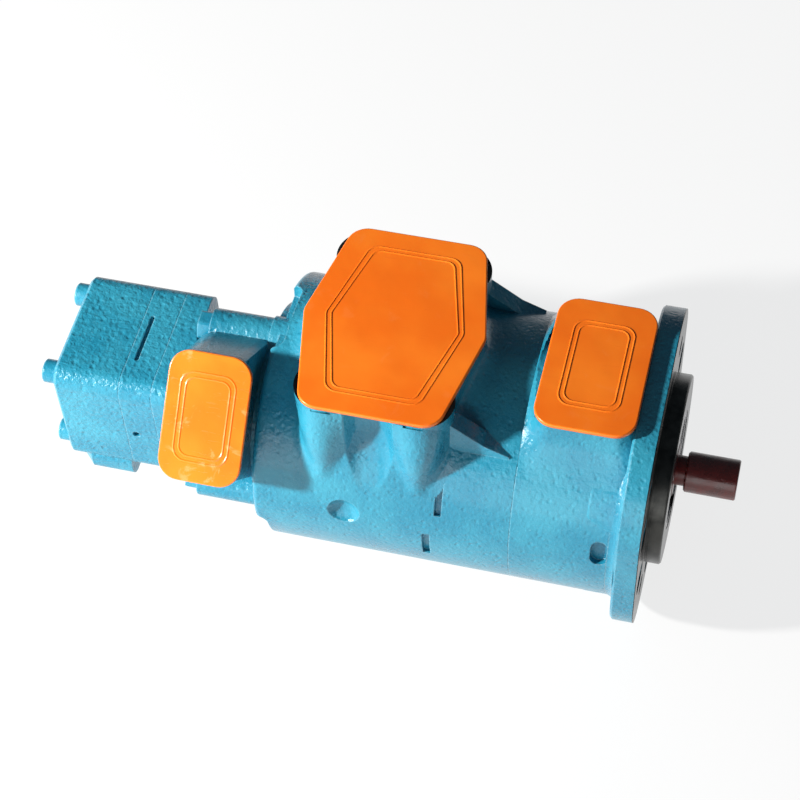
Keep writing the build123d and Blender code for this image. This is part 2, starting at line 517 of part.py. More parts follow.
# ---------------------------------------------------------------- shaft, bearing and seal
spline_face = Plane.YZ.offset(SPLINE_START_X) * spline_outline(SPLINE_R, SPLINE_ROOT_R, SPLINE_TEETH)
shaft = extrude(spline_face, amount=SHAFT_TIP_X - SPLINE_START_X)
tip_cone = Pos(SHAFT_TIP_X - 16, 0, 0) * Rot(0, 90, 0) * Cone(SPLINE_R + 14.6, SPLINE_ROOT_R - 0.4, 32)
shaft = shaft & tip_cone
shaft = shaft + [
    disc(PILOT_HIGH - 0.5, 17.5, SHAFT_NECK_R),
    disc(X_BEARING, PILOT_HIGH - 0.5, BEARING_BORE_R),
    disc(MIDDLE_PUSH_PLATE["x0"], X_BEARING, DRIVE_R),
    disc(BUSHING[0], MIDDLE_PUSH_PLATE["x0"], REAR_JOURNAL_R),
    disc(END_CHAMBER[0] + 4, BUSHING[0], END_DRIVE_R),
    disc(END_BUSHING[0] + 2, END_CHAMBER[0] + 4, END_JOURNAL_R),
]
snap_x = BEARING_RING_X
shaft = shaft - ring(snap_x, snap_x + 1.2, BEARING_BORE_R + 1, BEARING_BORE_R - 1.0)
write("drive_shaft", shaft)
snap_ring = ring(snap_x, snap_x + 1.2, BEARING_BORE_R + 2.2, BEARING_BORE_R - 1.0 + PAINT_GAP)
snap_gap = Pos(snap_x + 0.6, 0, -BEARING_BORE_R) * Box(3, 3.0, 10)
write("shaft_snap_ring", snap_ring - snap_gap)

retainer = ring(BEARING_RING_X, BEARING_RING_X + RETAINER_THICK, BEARING_OUT_R + 2.0, BEARING_OUT_R - 4.0)
retainer_gap = Pos(BEARING_RING_X + 1, 0, -BEARING_OUT_R) * Box(4, 12.0, 14)
write("bearing_retaining_ring", retainer - retainer_gap)

BALL_TRACK_R = (BEARING_OUT_R + BEARING_BORE_R) / 2
BALL_X = X_BEARING + BEARING_WIDE / 2
RACE_THICK = 6.0
track = Pos(BALL_X, 0, 0) * Rot(0, 90, 0) * Torus(BALL_TRACK_R, BALL_R + RUN_GAP)
outer_race = ring(X_BEARING, BEARING_RING_X, BEARING_OUT_R, BEARING_OUT_R - RACE_THICK) - track
inner_race = ring(X_BEARING, BEARING_RING_X, BEARING_BORE_R + RACE_THICK, BEARING_BORE_R) - track
write("bearing_outer_race", outer_race)
write("bearing_inner_race", inner_race)
ball_turns = [360.0 * index / BALL_COUNT for index in range(BALL_COUNT)]
balls = moved_round(Pos(BALL_X, 0, 0) * Sphere(BALL_R), BALL_TRACK_R, ball_turns)
write("bearing_balls", *balls)
cage = ring(BALL_X - 5.5, BALL_X + 5.5, BALL_TRACK_R + 1.6, BALL_TRACK_R - 1.6)
ball_room = Pos(BALL_X, 0, 0) * Sphere(BALL_R + RUN_GAP)
write("bearing_cage", cage - moved_round(ball_room, BALL_TRACK_R, ball_turns))

seal = ring(X_BEARING - SEAL_WIDE, X_BEARING, SEAL_R, DRIVE_R + RUN_GAP)
seal_hollow = ring(X_BEARING - SEAL_WIDE - 1, X_BEARING - 3.5, SEAL_R - 4.0, DRIVE_R + 4.0)
write("shaft_seal", seal - seal_hollow)

# springs that press each pressure plate to its ring: a slightly coned washer in each chamber
for name, plate, outer_r in (("front_plate_spring", FRONT_PUSH_PLATE, 40.0), ("middle_plate_spring", None, 32.0)):
    if plate:
        x_plate, way = plate["x1"], 1
    else:
        x_plate, way = MIDDLE_PUSH_PLATE["x0"], -1
    profile = [(x_plate, outer_r - 9), (x_plate + way * 3, outer_r), (x_plate + way * 4.5, outer_r - 0.5),
               (x_plate + way * 1.5, outer_r - 9.5)]
    section = make_face(Polyline(*[(x, z) for x, z in profile], close=True))
    write(name, revolve(Plane.XZ * section, Axis.X))

# ---------------------------------------------------------------- covers
LINE_WIDE = 1.1
LINE_INSETS = (12.5, 15.5)


def outline_rib(face, inset):
    """A raised line that follows a cover's edge at this inset."""
    outer = offset(face, amount=-inset)
    inner = offset(face, amount=-(inset + LINE_WIDE))
    return extrude(outer - inner, amount=COVER_RIB)


def port_cover(face):
    """Flat moulded cover with two raised lines, lying on z = 0."""
    plate = extrude(face, amount=COVER_THICK)
    rim = plate.edges().group_by(Axis.Z)[-1]
    plate = fillet(rim, 0.8)
    for inset in LINE_INSETS:
        plate = plate + Pos(0, 0, COVER_THICK) * outline_rib(face, inset)
    return plate


inlet_cover = port_cover(hexagon_outline(INLET_COVER, 0.0, 16.0))
write("inlet_cover", Pos(INLET_X, 0, INLET_Z) * inlet_cover)
front_cover = port_cover(Sketch() + RectangleRounded(2 * FRONT_OUT_COVER[0], 2 * FRONT_OUT_COVER[1], 14.0))
write("front_outlet_cover", Pos(FRONT_OUT_X, 0, FRONT_OUT_Z) * front_cover)
rear_cover = port_cover(Sketch() + RectangleRounded(2 * REAR_OUT_COVER[0], 2 * REAR_OUT_COVER[1], 14.0))
write("rear_outlet_cover", turned(Pos(REAR_OUT_X, 0, REAR_OUT_Z) * rear_cover, REAR_OUT_TURN))

CAP_OUT_R = 13.6
CAP_START_X = 17.6
CAP_END_X = 51.4
cap = disc(CAP_START_X, CAP_END_X, CAP_OUT_R)
cap = fillet(cap.edges().filter_by(GeomType.CIRCLE).sort_by(Axis.X)[-1], 1.2)
cap = chamfer(cap.edges().filter_by(GeomType.CIRCLE).sort_by(Axis.X)[0], 0.6)
cap = cap - disc(CAP_START_X - 1, CAP_END_X - 2.0, SPLINE_R + RUN_GAP)
write("shaft_cap", cap)
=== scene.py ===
import json

import bpy
import numpy as np
from mathutils import Matrix, Vector


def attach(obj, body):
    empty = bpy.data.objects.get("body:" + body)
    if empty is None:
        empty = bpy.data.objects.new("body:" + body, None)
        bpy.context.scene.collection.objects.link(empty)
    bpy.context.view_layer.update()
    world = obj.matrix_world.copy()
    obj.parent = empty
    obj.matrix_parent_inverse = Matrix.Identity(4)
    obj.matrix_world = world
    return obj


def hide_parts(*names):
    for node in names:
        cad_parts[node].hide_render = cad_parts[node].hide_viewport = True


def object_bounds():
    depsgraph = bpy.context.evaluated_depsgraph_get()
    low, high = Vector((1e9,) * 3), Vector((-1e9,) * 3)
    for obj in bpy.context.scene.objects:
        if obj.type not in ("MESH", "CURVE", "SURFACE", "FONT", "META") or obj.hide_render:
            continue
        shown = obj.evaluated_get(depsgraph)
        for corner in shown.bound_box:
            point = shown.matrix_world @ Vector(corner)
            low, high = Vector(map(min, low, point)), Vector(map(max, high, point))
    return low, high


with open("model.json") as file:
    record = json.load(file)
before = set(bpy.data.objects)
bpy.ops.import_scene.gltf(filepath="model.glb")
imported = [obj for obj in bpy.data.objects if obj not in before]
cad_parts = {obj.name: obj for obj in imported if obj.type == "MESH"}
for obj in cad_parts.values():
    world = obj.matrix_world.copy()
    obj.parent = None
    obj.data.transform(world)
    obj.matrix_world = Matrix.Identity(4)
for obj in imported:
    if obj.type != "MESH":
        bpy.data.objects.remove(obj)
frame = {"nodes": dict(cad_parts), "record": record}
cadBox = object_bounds()
nodes = frame["nodes"]
print("frame loaded:", len(nodes), "nodes")

mm = 0.001


# ---- small helpers for shader trees

def addNode(tree, kind, inputs=None, **settings):
    # one shader node, with its settings and the plain values of its sockets
    made = tree.nodes.new(kind)
    for name, value in settings.items():
        setattr(made, name, value)
    for name, value in (inputs or {}).items():
        if hasattr(value, "is_output"):
            tree.links.new(value, made.inputs[name])
        else:
            made.inputs[name].default_value = value
    return made


def calc(tree, operation, first, second=None, third=None, clamp=False):
    # one Math node; numbers and sockets may be mixed
    made = tree.nodes.new("ShaderNodeMath")
    made.operation = operation
    made.use_clamp = clamp
    for place, value in enumerate((first, second, third)):
        if value is None:
            continue
        if hasattr(value, "is_output"):
            tree.links.new(value, made.inputs[place])
        else:
            made.inputs[place].default_value = value
    return made.outputs[0]


def remap(tree, value, fromLow, fromHigh, toLow=0.0, toHigh=1.0, smooth=True):
    # stretches a value from one range to another and clamps it
    made = addNode(tree, "ShaderNodeMapRange", {"Value": value, "From Min": fromLow, "From Max": fromHigh,
                                                "To Min": toLow, "To Max": toHigh})
    made.interpolation_type = "SMOOTHSTEP" if smooth else "LINEAR"
    return made.outputs["Result"]


def blendColour(tree, share, first, second, mode="MIX"):
    # mixes two colours, each a socket or a plain (r, g, b)
    made = tree.nodes.new("ShaderNodeMix")
    made.data_type = "RGBA"
    made.blend_type = mode
    for place, value in ((0, share), (6, first), (7, second)):
        if hasattr(value, "is_output"):
            tree.links.new(value, made.inputs[place])
        elif place == 0:
            made.inputs[place].default_value = value
        else:
            made.inputs[place].default_value = (*value, 1.0)
    return made.outputs[2]


def blendValue(tree, share, first, second):
    made = tree.nodes.new("ShaderNodeMix")
    for place, value in ((0, share), (2, first), (3, second)):
        if hasattr(value, "is_output"):
            tree.links.new(value, made.inputs[place])
        else:
            made.inputs[place].default_value = value
    return made.outputs[0]


def noise(tree, place, scale, detail=3.0, roughness=0.5, distortion=0.0):
    made = addNode(tree, "ShaderNodeTexNoise", {"Vector": place, "Scale": scale, "Detail": detail,
                                                "Roughness": roughness, "Distortion": distortion})
    return made.outputs["Fac"]


def newGroup(name, inputs, outputs):
    # an empty node group; inputs give (name, kind, value) and outputs (name, kind)
    tree = bpy.data.node_groups.new(name, "ShaderNodeTree")
    for label, kind, value in inputs:
        socket = tree.interface.new_socket(label, in_out="INPUT", socket_type="NodeSocket" + kind)
        if value is not None:
            socket.default_value = value
    for label, kind in outputs:
        tree.interface.new_socket(label, in_out="OUTPUT", socket_type="NodeSocket" + kind)
    source = tree.nodes.new("NodeGroupInput").outputs
    drain = tree.nodes.new("NodeGroupOutput").inputs
    return tree, source, drain


def useGroup(tree, group, inputs):
    made = tree.nodes.new("ShaderNodeGroup")
    made.node_tree = group
    for name, value in inputs.items():
        if hasattr(value, "is_output"):
            tree.links.new(value, made.inputs[name])
        else:
            made.inputs[name].default_value = value
    return made.outputs


# ---- effects that several finishes share

def makeCastSkin():
    # Height = lumps of sand-cast iron + finer grain + soft pits
    # Tone = slow drift of colour; Speck = tiny bright crests
    tree, source, drain = newGroup(
        "castSkin",
        [("Place", "Vector", None), ("LumpScale", "Float", 260.0), ("GrainScale", "Float", 900.0),
         ("LumpShare", "Float", 0.6), ("GrainShare", "Float", 0.3), ("PitShare", "Float", 0.3)],
        [("Height", "Float"), ("Tone", "Float"), ("Speck", "Float")])
    lump = noise(tree, source["Place"], source["LumpScale"], 2.0, 0.45, 0.3)
    grain = noise(tree, source["Place"], source["GrainScale"], 3.0, 0.6)
    pitScale = calc(tree, "MULTIPLY", source["LumpScale"], 0.55)
    pit = addNode(tree, "ShaderNodeTexVoronoi", {"Vector": source["Place"], "Scale": pitScale}, feature="F1")
    pit = remap(tree, pit.outputs["Distance"], 0.0, 0.42)
    height = calc(tree, "MULTIPLY", lump, source["LumpShare"])
    height = calc(tree, "MULTIPLY_ADD", grain, source["GrainShare"], height)
    height = calc(tree, "MULTIPLY_ADD", pit, source["PitShare"], height)
    tree.links.new(height, drain["Height"])
    tree.links.new(noise(tree, source["Place"], 22.0, 4.0, 0.6), drain["Tone"])
    tree.links.new(remap(tree, grain, 0.60, 0.72), drain["Speck"])
    return tree


def makeEdgeMask():
    # Mask rises where the surface bends within Radius: 1 minus the dot product of the true normal
    # and the one that a bevel of that radius would have
    tree, source, drain = newGroup(
        "edgeMask",
        [("Radius", "Float", 0.001), ("Place", "Vector", None), ("Breakup", "Float", 0.5)],
        [("Mask", "Float"), ("Rounded", "Vector")])
    bevel = addNode(tree, "ShaderNodeBevel", {"Radius": source["Radius"]}, samples=4)
    geometry = tree.nodes.new("ShaderNodeNewGeometry")
    dot = addNode(tree, "ShaderNodeVectorMath", operation="DOT_PRODUCT")
    tree.links.new(bevel.outputs[0], dot.inputs[0])
    tree.links.new(geometry.outputs["Normal"], dot.inputs[1])
    bent = remap(tree, dot.outputs["Value"], 0.995, 0.80)
    rough = remap(tree, noise(tree, source["Place"], 420.0, 3.0, 0.6), 0.35, 0.65)
    kept = blendValue(tree, source["Breakup"], 1.0, rough)
    tree.links.new(calc(tree, "MULTIPLY", bent, kept), drain["Mask"])
    tree.links.new(bevel.outputs[0], drain["Rounded"])
    return tree


def makeTurnedMarks():
    # Height = fine rings cut by a lathe about the shaft axis, a wave along X plus the radius
    # Stain = slow blotches
    tree, source, drain = newGroup(
        "turnedMarks",
        [("Place", "Vector", None), ("RingScale", "Float", 900.0)],
        [("Height", "Float"), ("Stain", "Float")])
    split = addNode(tree, "ShaderNodeSeparateXYZ", {"Vector": source["Place"]}).outputs
    radial = addNode(tree, "ShaderNodeVectorMath", operation="LENGTH")
    flat = addNode(tree, "ShaderNodeCombineXYZ", {"Y": split["Y"], "Z": split["Z"]})
    tree.links.new(flat.outputs[0], radial.inputs[0])
    across = calc(tree, "ADD", split["X"], radial.outputs["Value"])
    line = addNode(tree, "ShaderNodeCombineXYZ", {"X": across})
    rings = noise(tree, line.outputs[0], source["RingScale"], 3.0, 0.7)
    tree.links.new(rings, drain["Height"])
    tree.links.new(noise(tree, source["Place"], 60.0, 4.0, 0.6), drain["Stain"])
    return tree


castSkin = makeCastSkin()
edgeMask = makeEdgeMask()
turnedMarks = makeTurnedMarks()
print("shared effects made")


def startMaterial(name):
    # an empty material with its shader; returns the tree, the shader and the object's own coordinates
    material = bpy.data.materials.new(name)
    material.use_nodes = True
    tree = material.node_tree
    shader = tree.nodes["Principled BSDF"]
    place = tree.nodes.new("ShaderNodeTexCoord").outputs["Object"]
    return material, tree, shader, place


def feed(tree, shader, **sockets):
    for name, value in sockets.items():
        label = name.replace("_", " ")
        if hasattr(value, "is_output"):
            tree.links.new(value, shader.inputs[label])
        else:
            shader.inputs[label].default_value = value


def bump(tree, height, distance, strength=1.0, normal=None):
    made = addNode(tree, "ShaderNodeBump", {"Height": height, "Distance": distance, "Strength": strength})
    if normal is not None:
        tree.links.new(normal, made.inputs["Normal"])
    return made.outputs["Normal"]


# ---- blue paint over cast iron

paintValues = {
    "deep": (0.004, 0.135, 0.230),
    "base": (0.014, 0.222, 0.335),
    "pale": (0.050, 0.325, 0.425),
    "chalk": (0.42, 0.66, 0.74),       # worn crests and thin paint
    "roughness": 0.30,
    "coatWeight": 0.35,
    "sheen": 0.38,
    "coatRoughness": 0.16,
    "bumpDepth": 1.2 * mm,
    "baseShare": 0.62,
    "crestShare": 0.16,
    "wornShare": 0.45,
    "edgeReach": 1.3 * mm,
}
bareValues = {
    "dark": (0.012, 0.013, 0.013),
    "light": (0.062, 0.062, 0.058),
    "roughness": 0.27,
}


bareEdges = {
    "pilotX": -0.4 * mm,               # forward of this: mounting face and pilot
    "inletZ": 102.6 * mm,
    "frontZ": 95.0 * mm,
    "frontX": -82.0 * mm,
    "slantReach": 110.4 * mm,          # distance from the shaft axis to just under the slanted port face
    "rearX": -262.0 * mm,
}


def bareAreas(tree, place):
    # 1 on the machined faces that stay free of paint: the mounting face and pilot, and the three port faces
    edges = bareEdges
    split = addNode(tree, "ShaderNodeSeparateXYZ", {"Vector": place}).outputs
    pilot = calc(tree, "GREATER_THAN", split["X"], edges["pilotX"])
    portFaces = calc(tree, "GREATER_THAN", split["Z"], edges["inletZ"])
    frontFace = calc(tree, "GREATER_THAN", split["Z"], edges["frontZ"])
    aft = calc(tree, "GREATER_THAN", split["X"], edges["frontX"])
    frontFace = calc(tree, "MULTIPLY", frontFace, aft)
    slant = calc(tree, "SUBTRACT", split["Z"], split["Y"])
    rearFace = calc(tree, "GREATER_THAN", slant, edges["slantReach"] * 2 ** 0.5)
    rearPart = calc(tree, "LESS_THAN", split["X"], edges["rearX"])
    rearFace = calc(tree, "MULTIPLY", rearFace, rearPart)
    bare = calc(tree, "MAXIMUM", pilot, portFaces)
    bare = calc(tree, "MAXIMUM", bare, frontFace)
    return calc(tree, "MAXIMUM", bare, rearFace)


def makeBluePaint(name, lumpScale=240.0, lumpShare=0.6, depth=1.0, withBare=True):
    # glossy blue paint: its tone drifts slowly, thins to chalk on sharp edges, and follows the lumps of the casting
    values = paintValues
    material, tree, shader, place = startMaterial(name)
    skin = useGroup(tree, castSkin, {"Place": place, "LumpScale": lumpScale, "GrainScale": lumpScale * 3.6,
                                     "LumpShare": lumpShare, "GrainShare": 0.16, "PitShare": 0.35})
    edge = useGroup(tree, edgeMask, {"Place": place, "Radius": values["edgeReach"], "Breakup": 0.8})
    drift = remap(tree, skin["Tone"], 0.32, 0.68)
    colour = blendColour(tree, drift, values["deep"], values["pale"])
    colour = blendColour(tree, values["baseShare"], colour, values["base"])
    crest = calc(tree, "MULTIPLY", skin["Speck"], values["crestShare"])
    colour = blendColour(tree, crest, colour, values["chalk"])
    worn = calc(tree, "MULTIPLY", edge["Mask"], values["wornShare"])
    colour = blendColour(tree, worn, colour, values["chalk"])
    rough = remap(tree, skin["Tone"], 0.3, 0.7, values["roughness"] - 0.06, values["roughness"] + 0.08)
    metal = 0.0
    if withBare:
        bare = bareAreas(tree, place)
        marks = useGroup(tree, turnedMarks, {"Place": place, "RingScale": 1400.0})
        iron = blendColour(tree, remap(tree, marks["Stain"], 0.3, 0.7), bareValues["dark"], bareValues["light"])
        colour = blendColour(tree, bare, colour, iron)
        rough = blendValue(tree, bare, rough, bareValues["roughness"])
        metal = calc(tree, "MULTIPLY", bare, 0.9)
        height = blendValue(tree, bare, skin["Height"], calc(tree, "MULTIPLY", marks["Height"], 0.05))
        feed(tree, shader, Coat_Weight=blendValue(tree, bare, values["coatWeight"], 0.0))
    else:
        height = skin["Height"]
        feed(tree, shader, Coat_Weight=values["coatWeight"])
    normal = bump(tree, height, values["bumpDepth"] * depth, 0.9, edge["Rounded"])
    feed(tree, shader, Base_Color=colour, Roughness=rough, Metallic=metal, Normal=normal,
         Coat_Roughness=values["coatRoughness"], Specular_IOR_Level=values["sheen"])
    return material


# ---- orange port covers

coverValues = {
    "base": (0.93, 0.165, 0.006),
    "warm": (1.0, 0.22, 0.012),
    "deep": (0.80, 0.110, 0.004),
    "glareTone": (1.0, 0.46, 0.20),
    # pale orange of the painted glare patches, a painted reflection
    "roughness": 0.33,
}


def makeCover(name, glareShare=0.05, roughness=0.33):
    # moulded plastic: a slight drift between two oranges, scuffs drawn out along X, and pale patches of painted glare
    values = coverValues
    material, tree, shader, place = startMaterial(name)
    drift = remap(tree, noise(tree, place, 16.0, 3.0, 0.5), 0.35, 0.65)
    colour = blendColour(tree, drift, values["base"], values["warm"])
    stretch = addNode(tree, "ShaderNodeMapping", {"Vector": place, "Scale": (60.0, 420.0, 420.0)})
    scuff = remap(tree, noise(tree, stretch.outputs[0], 1.0, 4.0, 0.7), 0.60, 0.72)
    colour = blendColour(tree, calc(tree, "MULTIPLY", scuff, 0.18), colour, values["deep"])
    # pale blotches of painted glare, a painted reflection laid into the cover's colour
    glarePatch = remap(tree, noise(tree, place, 55.0, 5.0, 0.65, 0.8), 0.58, 0.66)
    colour = blendColour(tree, calc(tree, "MULTIPLY", glarePatch, glareShare), colour, values["glareTone"])
    grain = noise(tree, place, 1500.0, 3.0, 0.6)
    wave = noise(tree, place, 45.0, 2.0, 0.4)
    height = calc(tree, "MULTIPLY_ADD", wave, 4.0, calc(tree, "MULTIPLY", grain, 0.15))
    rough = remap(tree, scuff, 0.0, 1.0, roughness, roughness + 0.15)
    feed(tree, shader, Base_Color=colour, Roughness=rough, Normal=bump(tree, height, 0.15 * mm, 0.6),
         Subsurface_Weight=0.04, Subsurface_Scale=0.002)
    return material


# ---- shaft cap and the other finishes

capValues = {
    "base": (0.090, 0.004, 0.002),
    "pale": (0.165, 0.010, 0.006),
    "roughness": 0.26,
}


def makeCap(name):
    # dip-coated cap, dark and glossy, with soft waves where the coat ran
    material, tree, shader, place = startMaterial(name)
    drift = remap(tree, noise(tree, place, 90.0, 4.0, 0.6), 0.35, 0.7)
    colour = blendColour(tree, drift, capValues["base"], capValues["pale"])
    stretch = addNode(tree, "ShaderNodeMapping", {"Vector": place, "Scale": (60.0, 260.0, 260.0)})
    wave = noise(tree, stretch.outputs[0], 1.0, 3.0, 0.5)
    grain = noise(tree, place, 1600.0, 2.0, 0.5)
    height = calc(tree, "MULTIPLY_ADD", grain, 0.12, wave)
    rough = remap(tree, drift, 0.0, 1.0, capValues["roughness"], capValues["roughness"] + 0.14)
    feed(tree, shader, Base_Color=colour, Roughness=rough, Normal=bump(tree, height, 0.6 * mm, 0.7),
         Coat_Weight=0.3, Coat_Roughness=0.2)
    return material


metalFinishes = {
    # finish: dark tone, light tone, roughness, ring scale, metallic
    "hardSteel": ((0.26, 0.26, 0.27), (0.46, 0.46, 0.47), 0.24, 1600.0, 1.0),
    "groundSteel": ((0.40, 0.40, 0.41), (0.62, 0.62, 0.62), 0.20, 2600.0, 1.0),
    "bearingSteel": ((0.50, 0.50, 0.51), (0.70, 0.70, 0.70), 0.12, 3200.0, 1.0),
    "bronze": ((0.34, 0.18, 0.06), (0.56, 0.33, 0.13), 0.30, 1800.0, 1.0),
    "brassCage": ((0.48, 0.30, 0.08), (0.70, 0.50, 0.20), 0.28, 1600.0, 1.0),
    "springSteel": ((0.10, 0.10, 0.12), (0.22, 0.22, 0.25), 0.32, 1200.0, 1.0),
    "blackOxide": ((0.016, 0.016, 0.018), (0.050, 0.050, 0.055), 0.38, 900.0, 0.6),
}


def makeMetal(name, finish):
    # turned or ground metal: lathe rings, slow stains, and brighter worn edges
    dark, light, roughness, ringScale, metallic = metalFinishes[finish]
    material, tree, shader, place = startMaterial(name)
    marks = useGroup(tree, turnedMarks, {"Place": place, "RingScale": ringScale})
    edge = useGroup(tree, edgeMask, {"Place": place, "Radius": 0.5 * mm, "Breakup": 0.4})
    colour = blendColour(tree, remap(tree, marks["Stain"], 0.32, 0.68), dark, light)
    bright = tuple(min(1.0, 1.35 * part + 0.03) for part in light)
    colour = blendColour(tree, calc(tree, "MULTIPLY", edge["Mask"], 0.6), colour, bright)
    rough = remap(tree, marks["Stain"], 0.3, 0.7, roughness + 0.08, roughness - 0.04)
    normal = bump(tree, marks["Height"], 0.03 * mm, 0.6, edge["Rounded"])
    feed(tree, shader, Base_Color=colour, Roughness=rough, Metallic=metallic, Normal=normal)
    return material


shaftCoat = {"neckFrom": 10.4 * mm, "neckTo": 18.0 * mm}


def makeShaftSteel(name):
    # ground steel, with the cap's maroon coat run down over the neck between bearing and splines
    dark, light, roughness, ringScale, metallic = metalFinishes["hardSteel"]
    material, tree, shader, place = startMaterial(name)
    marks = useGroup(tree, turnedMarks, {"Place": place, "RingScale": ringScale})
    edge = useGroup(tree, edgeMask, {"Place": place, "Radius": 0.5 * mm, "Breakup": 0.4})
    steel = blendColour(tree, remap(tree, marks["Stain"], 0.32, 0.68), dark, light)
    split = addNode(tree, "ShaderNodeSeparateXYZ", {"Vector": place}).outputs
    ragged = calc(tree, "MULTIPLY_ADD", noise(tree, place, 300.0, 3.0, 0.6), 1.2 * mm, split["X"])
    coated = calc(tree, "GREATER_THAN", ragged, shaftCoat["neckFrom"] + 0.4 * mm)
    coat = blendColour(tree, remap(tree, marks["Stain"], 0.35, 0.7), capValues["base"], capValues["pale"])
    feed(tree, shader, Base_Color=blendColour(tree, coated, steel, coat),
         Roughness=blendValue(tree, coated, roughness, capValues["roughness"] + 0.06),
         Metallic=calc(tree, "SUBTRACT", metallic, coated),
         Normal=bump(tree, marks["Height"], 0.05 * mm, 0.6, edge["Rounded"]))
    return material


def makeRubber(name):
    # dull black rubber with a fine moulded grain and a little bloom
    material, tree, shader, place = startMaterial(name)
    bloom = remap(tree, noise(tree, place, 120.0, 4.0, 0.6), 0.4, 0.75)
    colour = blendColour(tree, bloom, (0.012, 0.012, 0.013), (0.035, 0.035, 0.036))
    feed(tree, shader, Base_Color=colour, Roughness=remap(tree, bloom, 0.0, 1.0, 0.55, 0.75),
         Normal=bump(tree, noise(tree, place, 2200.0, 2.0, 0.6), 0.08 * mm, 0.5))
    return material


def dress(material, *names):
    # gives the finish to each of these nodes
    for name in names:
        materials = nodes[name].data.materials
        materials.clear()
        materials.append(material)


# ---- moulded port covers, over the plain ones of the frame

def meshPiece(name, points, faces, material, smooth=True):
    # a new piece with its finish; smooth is one value, or one for each face
    mesh = bpy.data.meshes.new(name)
    mesh.from_pydata(np.asarray(points).tolist(), [], faces)
    mesh.polygons.foreach_set("use_smooth", np.broadcast_to(smooth, len(mesh.polygons)))
    mesh.update()
    piece = bpy.data.objects.new(name, mesh)
    bpy.context.scene.collection.objects.link(piece)
    mesh.materials.append(material)
    return piece


def ringFaces(rows, count):
    # four-sided faces between closed rings of count points that follow each other
    faces = []
    for row in range(rows - 1):
        for step in range(count):
            following = (step + 1) % count
            faces.append((row * count + step, row * count + following,
                          (row + 1) * count + following, (row + 1) * count + step))
    return faces


def roundedOutline(corners, radius, steps):
    # each corner is an arc; with half of the corner's angle, centre = corner + radius / sin(half) along the bisector
    corners = np.array(corners)
    points = []
    for index, corner in enumerate(corners):
        before = corners[index - 1] - corner
        after = corners[(index + 1) % len(corners)] - corner
        before, after = before / np.linalg.norm(before), after / np.linalg.norm(after)
        half = np.arccos(before @ after) / 2
        bisector = (before + after) / np.linalg.norm(before + after)
        centre = corner + bisector * radius / np.sin(half)
        start = corner + before * radius / np.tan(half) - centre
        swept = np.linspace(0, np.pi - 2 * half, steps) + np.arctan2(start[1], start[0])
        points.extend(centre + radius * np.stack([np.cos(swept), np.sin(swept)], axis=1))
    return np.array(points)


coverShape = {
    "thick": 3.0 * mm,
    "foot": (1.2 * mm, 0.3 * mm),      # bevel round the underside: inset, height
    # rounded upper edge in mm: inset, and how far under the top
    "edge": ((0.0, 0.9), (0.12, 0.45), (0.45, 0.12), (0.9, 0.0), (1.4, 0.0)),
    "corner": 14.0 * mm,
    "lines": 2,
    "lineHigh": 0.42 * mm,
    "lineWide": 1.5 * mm,
    "lineStep": 3.4 * mm,
    "lineCorner": 9.0 * mm,
    "lineRows": 7,
    "arcSteps": 9,
    # half length at the ends, half length in the middle, half width, and how far in the first line stands
    "inlet_cover": (44.5 * mm, 59.6 * mm, 73.9 * mm, 14.0 * mm, 13.5 * mm),
    "front_outlet_cover": (32.3 * mm, 32.3 * mm, 51.1 * mm, 12.0 * mm, 16.5 * mm),
    "rear_outlet_cover": (27.2 * mm, 27.2 * mm, 42.1 * mm, 8.5 * mm, 12.5 * mm),
}


def portPlace(port):
    # the middle of a port's face, and the way that the face looks
    mount = next(entry for entry in frame["record"]["mounts"] if entry["name"] == port)
    return np.array(mount["pos_m"], float), np.array(mount["axis"], float)


def makePortCover(node, port, material):
    # rings of the outline at (inset along, inset across, height): the bevel, the rounded edge, then the
    # raised lines, with height = thick + high * sin(pi * t) ^ 1.5 across each
    shape = coverShape
    halfEnd, halfMiddle, halfWide, insetX, insetY = shape[node]
    origin, axis = portPlace(port)
    along = np.array((1.0, 0.0, 0.0))
    across = np.cross(axis, along)
    thick = shape["thick"]
    footInset, footHigh = shape["foot"]
    profile = [(footInset, footInset, 0.0), (0.0, 0.0, footHigh)]
    profile += [(inset * mm, inset * mm, thick - under * mm) for inset, under in shape["edge"]]
    for line in range(shape["lines"]):
        for t in np.linspace(0, 1, shape["lineRows"]):
            inset = line * shape["lineStep"] + t * shape["lineWide"]
            profile.append((insetX + inset, insetY + inset, thick + shape["lineHigh"] * np.sin(np.pi * t) ** 1.5))
    rings = []
    for inX, inY, height in profile:
        far, middle, wide = halfEnd - inX, halfMiddle - inX, halfWide - inY
        corners = [(far, -wide), (middle, 0.0), (far, wide), (-far, wide), (-middle, 0.0), (-far, -wide)]
        if halfMiddle == halfEnd:
            corners = [corners[0], corners[2], corners[3], corners[5]]
        lined = inX >= insetX
        corner = shape["lineCorner"] - 0.6 * (inX - insetX) if lined else shape["corner"] - inX
        flat = roundedOutline(corners, corner, shape["arcSteps"])
        rings.append(origin + np.outer(flat[:, 0], along) + np.outer(flat[:, 1], across) + height * axis)
    count = len(rings[0])
    faces = ringFaces(len(rings), count)
    faces.append(tuple(range((len(rings) - 1) * count, len(rings) * count)))
    faces.append(tuple(range(count - 1, -1, -1)))
    level = [first[2] == second[2] for first, second in zip(profile, profile[1:])]
    smooth = np.append(~np.repeat(level, count), [False, False])
    piece = meshPiece(node.replace("_", ".") + ".moulded", np.concatenate(rings), faces, material, smooth)
    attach(piece, node)
    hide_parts(node)


makePortCover("inlet_cover", "inlet_port", makeCover("inletCoverPlastic", 0.05))
makePortCover("front_outlet_cover", "front_outlet_port", makeCover("frontCoverPlastic", 0.04))
# the rear cover takes the largest share of painted glare
makePortCover("rear_outlet_cover", "rear_outlet_port", makeCover("rearCoverPlastic", 0.34, 0.26))
print("port covers made")


# ---- cast flare behind the flange

bodyR = 89.0 * mm

